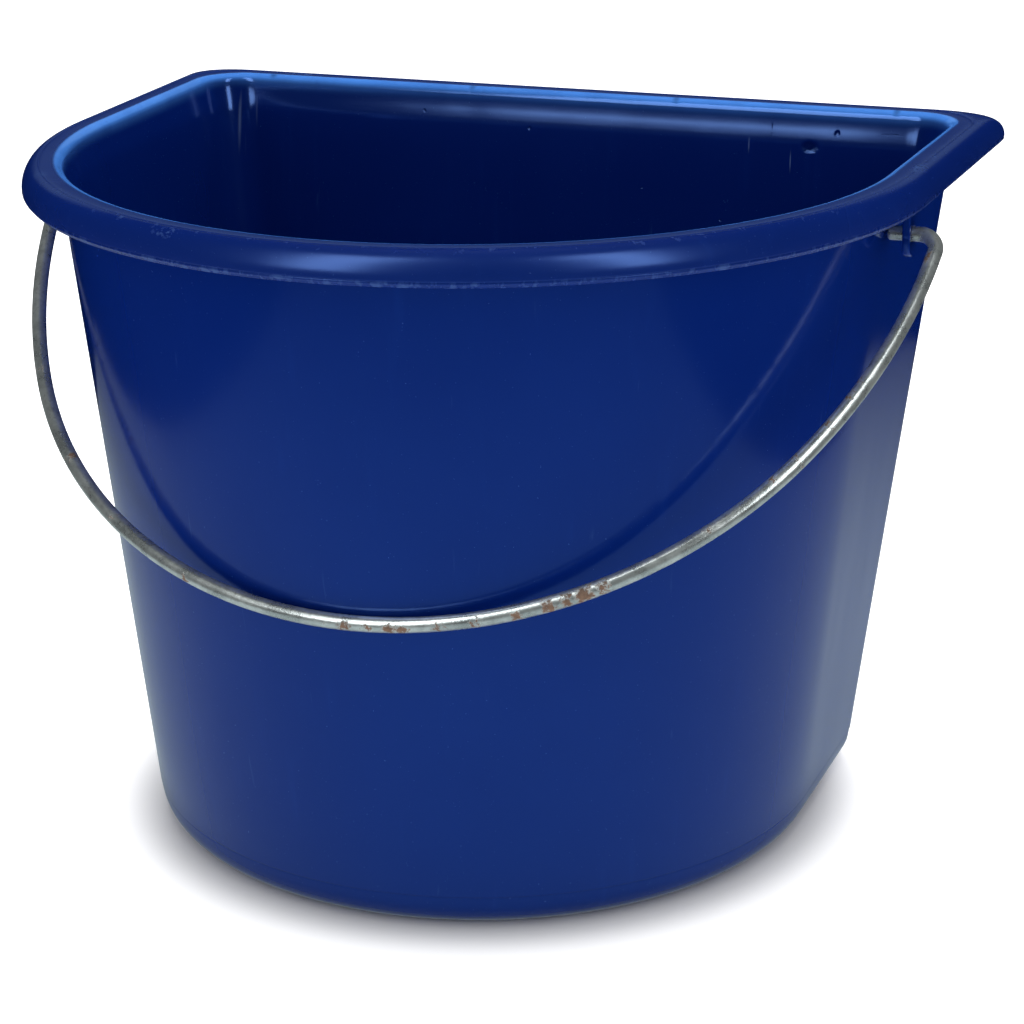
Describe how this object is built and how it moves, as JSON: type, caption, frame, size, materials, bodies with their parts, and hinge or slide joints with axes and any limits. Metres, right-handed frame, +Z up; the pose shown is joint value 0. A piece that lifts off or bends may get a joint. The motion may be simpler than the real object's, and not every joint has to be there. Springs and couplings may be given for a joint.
{
  "type": "feed bucket",
  "caption": "Flat-backed plastic feed bucket with a rolled rim, hanging lugs and a swinging wire bail.",
  "frame": {"origin": "on the floor plane under the tub, at the centre of the rim's outline box", "axes": "+Z up, +Y towards the flat back that goes against a wall or fence, -Y towards the round front, +X to one lug; the bail's hinge axis is parallel to X"},
  "size_m": [0.352, 0.2858, 0.258],
  "materials": {
    "tub_plastic": "deep blue injection-moulded polypropylene with a soft gloss",
    "bail_wire": "drawn galvanised steel wire, dull zinc grey with small rust spots"
  },
  "bodies": {
    "tub": {"tub": "tub_plastic"},
    "bail": {"bail": "bail_wire"}
  },
  "joints": [
    {"name": "bail_swing", "type": "hinge", "parent": "tub", "child": "bail", "pos_m": [0, 0.02355, 0.236], "axis": [-1, 0, 0], "range_deg": [0, 133]}
  ]
}
